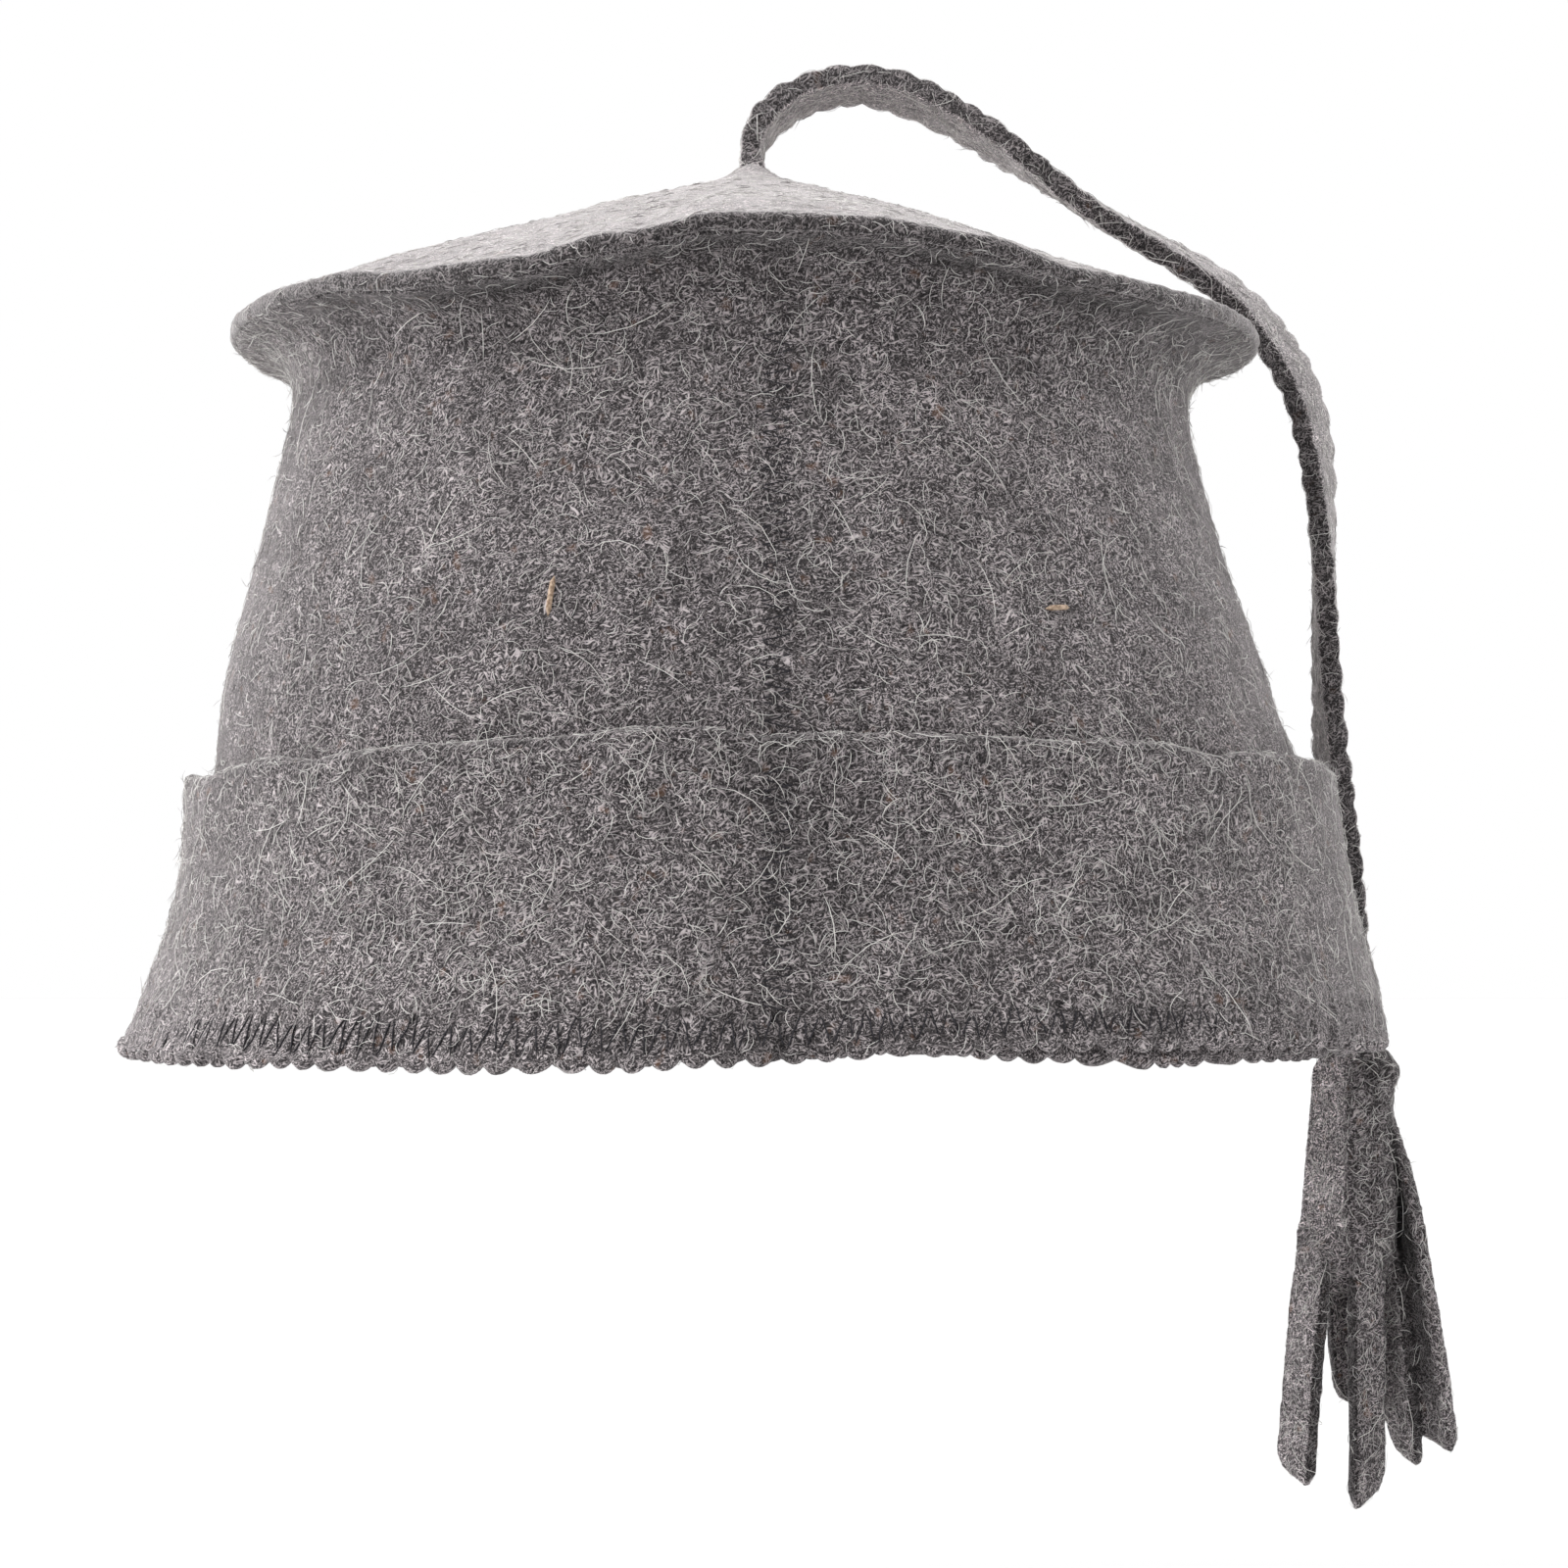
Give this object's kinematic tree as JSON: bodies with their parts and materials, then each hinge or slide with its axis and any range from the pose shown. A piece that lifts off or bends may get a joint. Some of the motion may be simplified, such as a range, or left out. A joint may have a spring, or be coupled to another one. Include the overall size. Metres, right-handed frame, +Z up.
{
  "type": "felt sauna hat",
  "caption": "Thick grey wool felt sauna hat: oval tapering crown with a flared rim, low pointed top, turned-up cuff, and a flat strap that arches over and hangs with a slit felt tassel.",
  "frame": {"origin": "middle of the head opening, level with the hem", "axes": "+Z up out of the crown, -Y towards the side with the upright seam, +X towards the hanging strap and along the oval's long axis"},
  "size_m": [0.271, 0.1918, 0.2953],
  "materials": {
    "grey_felt": "matt mottled grey wool felt with loose pale fibres",
    "thread": "dark grey sewing thread"
  },
  "bodies": {
    "root": {"crown_wall": "grey_felt", "crown_top": "grey_felt", "cuff": "grey_felt", "strap": "grey_felt", "tassel": "grey_felt"}
  },
  "joints": []
}
